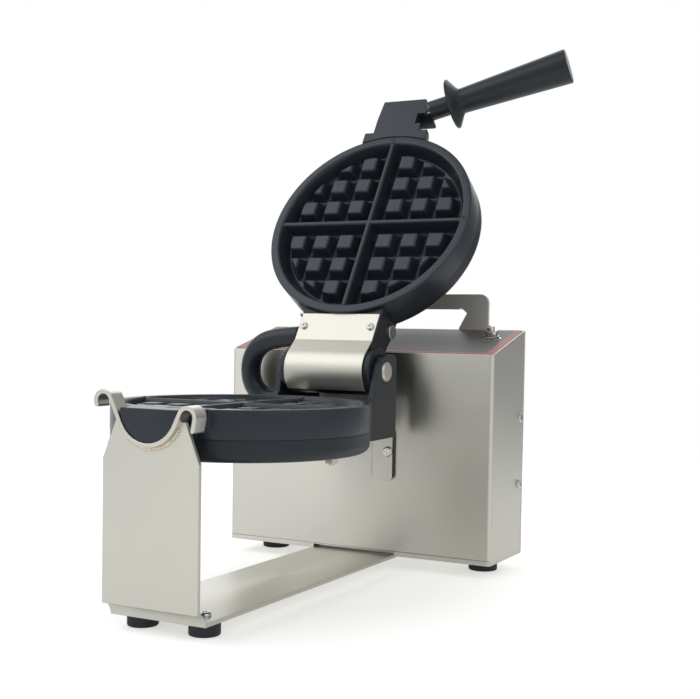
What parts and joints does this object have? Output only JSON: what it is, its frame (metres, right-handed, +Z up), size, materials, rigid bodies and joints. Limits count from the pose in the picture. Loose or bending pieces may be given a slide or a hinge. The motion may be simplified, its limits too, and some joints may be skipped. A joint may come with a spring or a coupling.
{
  "type": "rotating waffle maker",
  "caption": "Countertop waffle maker: two hinged round grid pans on a horizontal turning hub, front journal in a U cradle, steel control housing behind, angled grip.",
  "frame": {"origin": "on the floor under the turning axis, in the plane of the housing front face", "axes": "+X to the operator's right, -Y towards the operator, +Z up; the pans turn about a line parallel to Y"},
  "size_m": [0.2994, 0.4386, 0.4796],
  "materials": {
    "satin_steel": "satin",
    "plated_screw": "polished",
    "overlay_film": "matte",
    "nonstick_casting": "dark non-stick coat",
    "cast_cover": "dark coat",
    "nickel": "satin",
    "machined_steel": "turned",
    "black_rubber": "matte",
    "black_moulding": "moulded",
    "board": "fibre board",
    "grey_moulding": "moulded",
    "heater_sheath": "oxidised",
    "galvanised": "galvanised",
    "weld": "heat tinted"
  },
  "bodies": {
    "stand": {"front_shell": "satin_steel", "base_tray": "satin_steel", "back_cover": "satin_steel", "side_screws": "plated_screw", "control_overlay": "overlay_film", "carry_handle": "satin_steel", "handle_screws": "plated_screw", "mains_inlet": "black_moulding", "inlet_screws": "plated_screw", "switch_body": "plated_screw", "rear_feet": "black_rubber", "front_feet": "black_rubber", "rear_foot_screws": "plated_screw", "front_foot_screws": "plated_screw", "cradle_arm": "satin_steel", "saddle_strip": "satin_steel", "saddle_weld": "weld", "arm_clamp": "satin_steel", "arm_bolts": "plated_screw", "stop_plate": "satin_steel", "stop_screw": "plated_screw", "hub_bearing": "machined_steel", "bearing_screws": "plated_screw", "control_board": "board", "relay": "grey_moulding", "terminal_block": "grey_moulding", "transformer": "heater_sheath"},
    "pans": {"hub_shaft": "machined_steel", "hub_collar": "machined_steel", "hub_drum": "machined_steel", "drum_bolts": "plated_screw", "lower_grid": "nonstick_casting", "lower_cover": "cast_cover", "lower_heater": "heater_sheath", "lower_cover_bolts": "nickel", "hinge_pin": "nickel", "hub_gland": "black_moulding"},
    "lid": {"upper_grid": "nonstick_casting", "upper_cover": "cast_cover", "upper_heater": "heater_sheath", "upper_cover_bolts": "nickel", "hinge_sheet": "satin_steel", "sheet_screws": "plated_screw", "arm_bumper": "nickel", "gland_bracket": "galvanised", "neck": "nonstick_casting", "handle_stud": "machined_steel", "ferrule": "black_moulding", "grip": "black_moulding", "arm_gland": "black_moulding", "conduit": "black_rubber"},
    "button": {"switch_plunger": "plated_screw"}
  },
  "joints": [
    {"name": "turn", "type": "hinge", "parent": "stand", "child": "pans", "pos_m": [0, 0, 0.16], "axis": [0, -1, 0], "range_deg": [-22, 22]},
    {"name": "lid_hinge", "type": "hinge", "parent": "pans", "child": "lid", "pos_m": [0, -0.041, 0.1802], "axis": [1, 0, 0], "range_deg": [0, 121.5], "deforming": ["conduit"]},
    {"name": "push_switch", "type": "slide", "parent": "stand", "child": "button", "axis": [0, 0.2645, -0.9644], "range_m": [0, 0.0025], "stiffness_N_per_m": 600}
  ]
}
